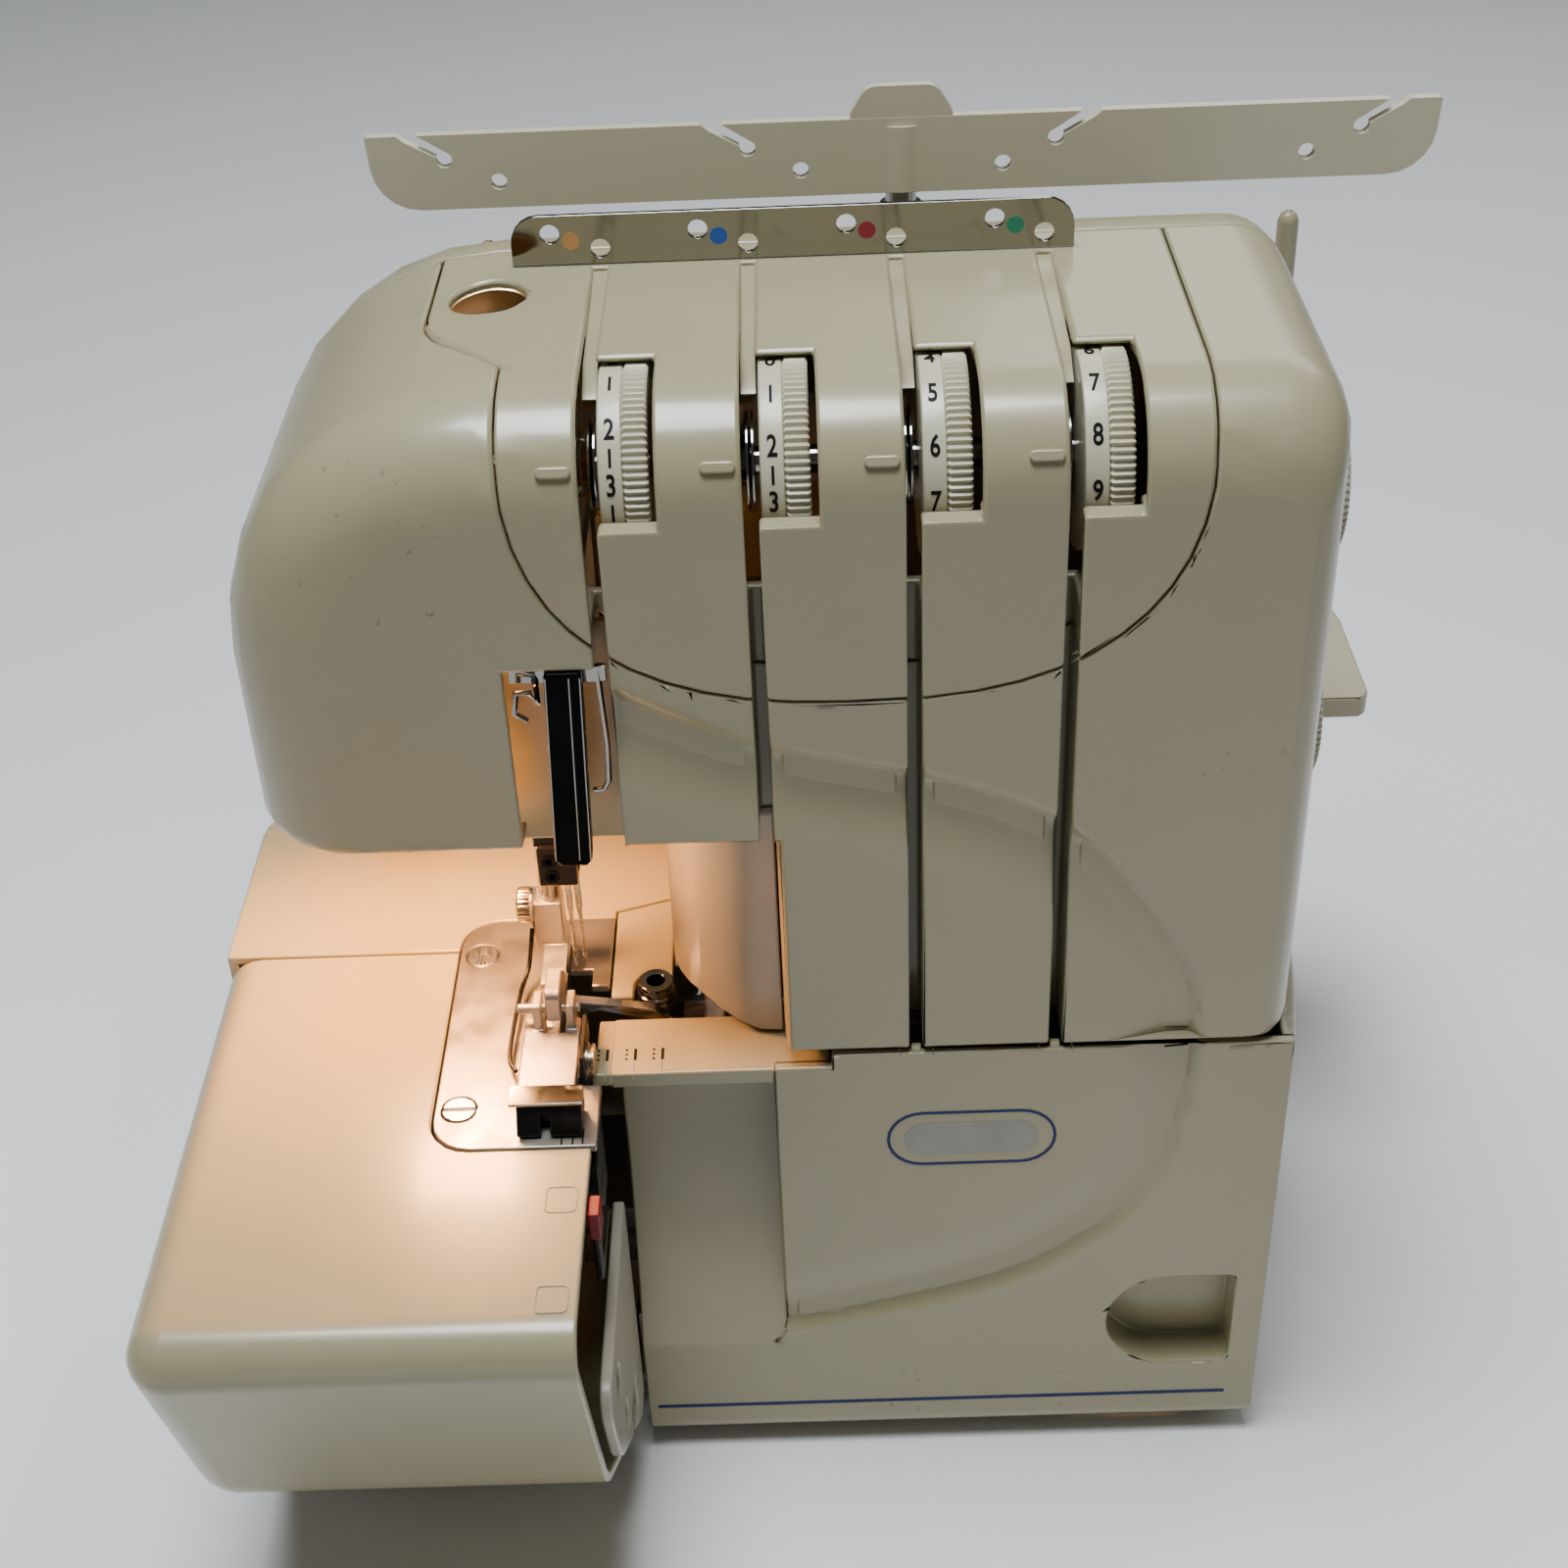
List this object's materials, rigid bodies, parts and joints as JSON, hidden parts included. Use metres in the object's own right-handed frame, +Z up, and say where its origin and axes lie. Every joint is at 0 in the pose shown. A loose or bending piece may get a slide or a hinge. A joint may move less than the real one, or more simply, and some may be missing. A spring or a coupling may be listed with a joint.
{
  "type": "serger overlock machine",
  "caption": "Cream tabletop overlock sewing machine with thread tension dials, needle head, presser foot, swing-open looper and side covers, spool stand and telescopic thread guide.",
  "frame": {"origin": "on the floor plane, under the middle of the whole machine", "axes": "+X to the right of a person sitting at the machine, +Y away from them towards the spool stand, +Z up"},
  "size_m": [0.294, 0.2466, 0.3055],
  "materials": {
    "cream_plastic": "glossy moulded cream plastic, lightly scuffed",
    "white_plastic": "glossy white moulded plastic",
    "black_plastic": "glossy black plastic",
    "steel": "satin steel with fine sand texture",
    "black_steel": "blackened steel, slight sheen",
    "chrome": "mirror plated",
    "casting": "as-cast aluminium",
    "rubber": "matt moulded rubber",
    "red_plastic": "glossy red plastic",
    "bulb_glass": "warm white incandescent bulb glass"
  },
  "bodies": {
    "root": {"tension_panel": "cream_plastic", "front_cover": "cream_plastic", "head_cover": "cream_plastic", "rear_cover": "cream_plastic", "lower_case": "cream_plastic", "bed_cover": "cream_plastic", "looper_access_plate": "cream_plastic", "spool_stand": "cream_plastic", "column_cover": "white_plastic", "needle_guard": "black_plastic", "inlet_and_switch_frame": "black_plastic", "base_plate": "steel", "needle_plate": "steel", "needle_plate_screw": "steel", "lower_knife": "steel", "motor": "black_steel", "wire_thread_guides": "chrome", "looper_thread_tube": "chrome", "thread_guide_plate": "chrome", "pole_outer_tube": "chrome", "tension_discs_1": "chrome", "tension_discs_2": "chrome", "tension_discs_3": "chrome", "tension_discs_4": "chrome", "frame_casting": "casting", "drive_belt": "rubber", "rubber_foot_1": "rubber", "rubber_foot_2": "rubber", "rubber_foot_3": "rubber", "rubber_foot_4": "rubber", "lamp": "bulb_glass"},
    "cover_rod": {"cover_hinge_rod": "steel"},
    "looper_door": {"looper_cover": "cream_plastic"},
    "side_door": {"side_cover": "cream_plastic", "knife_side_panel": "white_plastic"},
    "dial_1": {"tension_dial_1": "cream_plastic"},
    "dial_2": {"tension_dial_2": "cream_plastic"},
    "dial_3": {"tension_dial_3": "cream_plastic"},
    "dial_4": {"tension_dial_4": "cream_plastic"},
    "length_dial": {"stitch_length_dial": "cream_plastic"},
    "feed_dial": {"differential_feed_dial": "cream_plastic"},
    "drive_shaft": {"main_shaft": "steel", "handwheel": "cream_plastic"},
    "motor_rotor": {"motor_pulley": "steel"},
    "needle_drive": {"needle_bar": "black_steel", "left_needle": "steel", "right_needle": "steel"},
    "upper_looper_arm": {"upper_looper": "steel"},
    "lower_looper_arm": {"lower_looper": "steel"},
    "moving_knife": {"upper_knife": "black_steel"},
    "feed": {"feed_dogs": "steel"},
    "lifter": {"presser_lifter": "cream_plastic"},
    "presser": {"presser_bar": "steel"},
    "foot": {"presser_foot": "steel"},
    "pressure_dial": {"foot_pressure_dial": "black_plastic"},
    "setting_lever": {"plate_setting_lever": "red_plastic"},
    "pole_middle": {"pole_middle_tube": "chrome"},
    "pole_top": {"pole_inner_rod": "chrome", "thread_guide_bar": "cream_plastic"},
    "switch": {"power_switch": "black_plastic"}
  },
  "joints": [
    {"name": "cover_slide", "type": "slide", "parent": "root", "child": "cover_rod", "axis": [1, 0, 0], "range_m": [0, 0.006]},
    {"name": "looper_cover_hinge", "type": "hinge", "parent": "cover_rod", "child": "looper_door", "pos_m": [0.02, -0.0404, 0.015], "axis": [1, 0, 0], "range_deg": [0, 85]},
    {"name": "side_cover_hinge", "type": "hinge", "parent": "root", "child": "side_door", "pos_m": [-0.1448, -0.0016, 0.065], "axis": [0, 0, 1], "range_deg": [-90, 0]},
    {"name": "tension_dial_1_turn", "type": "hinge", "parent": "root", "child": "dial_1", "pos_m": [-0.038, -0.019, 0.2697], "axis": [1, 0, 0], "range_deg": [-192, 96]},
    {"name": "tension_dial_2_turn", "type": "hinge", "parent": "root", "child": "dial_2", "pos_m": [-0.007, -0.019, 0.2697], "axis": [1, 0, 0], "range_deg": [-208, 80]},
    {"name": "tension_dial_3_turn", "type": "hinge", "parent": "root", "child": "dial_3", "pos_m": [0.024, -0.019, 0.2697], "axis": [1, 0, 0], "range_deg": [-80, 208]},
    {"name": "tension_dial_4_turn", "type": "hinge", "parent": "root", "child": "dial_4", "pos_m": [0.055, -0.019, 0.2697], "axis": [1, 0, 0], "range_deg": [-16, 272]},
    {"name": "stitch_length_turn", "type": "hinge", "parent": "root", "child": "length_dial", "pos_m": [0.104, 0, 0.253], "axis": [1, 0, 0], "range_deg": [-135, 135]},
    {"name": "differential_feed_turn", "type": "hinge", "parent": "root", "child": "feed_dial", "pos_m": [0.104, 0, 0.196], "axis": [1, 0, 0], "range_deg": [-90, 90]},
    {"name": "handwheel_turn", "type": "hinge", "parent": "root", "child": "drive_shaft", "pos_m": [0.11, 0.035, 0.078], "axis": [1, 0, 0], "continuous": true},
    {"name": "motor_turn", "type": "hinge", "parent": "root", "child": "motor_rotor", "pos_m": [0.06, -0.006, 0.048], "axis": [1, 0, 0], "continuous": true},
    {"name": "needle_bar_slide", "type": "slide", "parent": "root", "child": "needle_drive", "axis": [0, 0, 1], "range_m": [-0.025, 0]},
    {"name": "upper_looper_swing", "type": "hinge", "parent": "root", "child": "upper_looper_arm", "pos_m": [-0.036, -0.0205, 0.096], "axis": [0, 1, 0], "range_deg": [-1, 13]},
    {"name": "lower_looper_swing", "type": "hinge", "parent": "root", "child": "lower_looper_arm", "pos_m": [-0.072, -0.003, 0.09], "axis": [0, 1, 0], "range_deg": [-13, 1]},
    {"name": "knife_slide", "type": "slide", "parent": "root", "child": "moving_knife", "axis": [0, 0, 1], "range_m": [-0.007, 0.0002]},
    {"name": "feed_slide", "type": "slide", "parent": "root", "child": "feed", "axis": [0, 1, 0], "range_m": [-0.0018, 0.0001]},
    {"name": "presser_bar_slide", "type": "slide", "parent": "root", "child": "presser", "axis": [0, 0, 1], "range_m": [0, 0.0055]},
    {"name": "lifter_lever_swing", "type": "hinge", "parent": "root", "child": "lifter", "pos_m": [-0.092, 0.067, 0.214], "axis": [0, 1, 0], "range_deg": [-1, 62]},
    {"name": "presser_foot_tilt", "type": "hinge", "parent": "presser", "child": "foot", "pos_m": [-0.0645, -0.03, 0.1375], "axis": [1, 0, 0], "range_deg": [-8, 0]},
    {"name": "foot_pressure_turn", "type": "hinge", "parent": "root", "child": "pressure_dial", "pos_m": [-0.067, 0.015, 0.28], "axis": [0, 0, 1], "range_deg": [0, 270]},
    {"name": "setting_lever_slide", "type": "slide", "parent": "root", "child": "setting_lever", "axis": [0, 1, 0], "range_m": [-0.026, 0]},
    {"name": "pole_middle_slide", "type": "slide", "parent": "root", "child": "pole_middle", "axis": [0, 0, 1], "range_m": [0, 0.13]},
    {"name": "pole_top_slide", "type": "slide", "parent": "pole_middle", "child": "pole_top", "axis": [0, 0, 1], "range_m": [0, 0.13]},
    {"name": "power_switch_rock", "type": "hinge", "parent": "root", "child": "switch", "pos_m": [0.099, 0.046, 0.034], "axis": [0, 1, 0], "range_deg": [-8, 8]}
  ],
  "couplings": [
    {"joint": "motor_turn", "follows": "handwheel_turn", "ratio": 2.4286},
    {"joint": "upper_looper_swing", "follows": "needle_bar_slide", "rad_per_m": -8.38},
    {"joint": "lower_looper_swing", "follows": "needle_bar_slide", "rad_per_m": 8.38},
    {"joint": "knife_slide", "follows": "needle_bar_slide", "ratio": 0.24},
    {"joint": "feed_slide", "follows": "needle_bar_slide", "ratio": 0.06},
    {"joint": "lifter_lever_swing", "follows": "presser_bar_slide", "rad_per_m": 190}
  ]
}
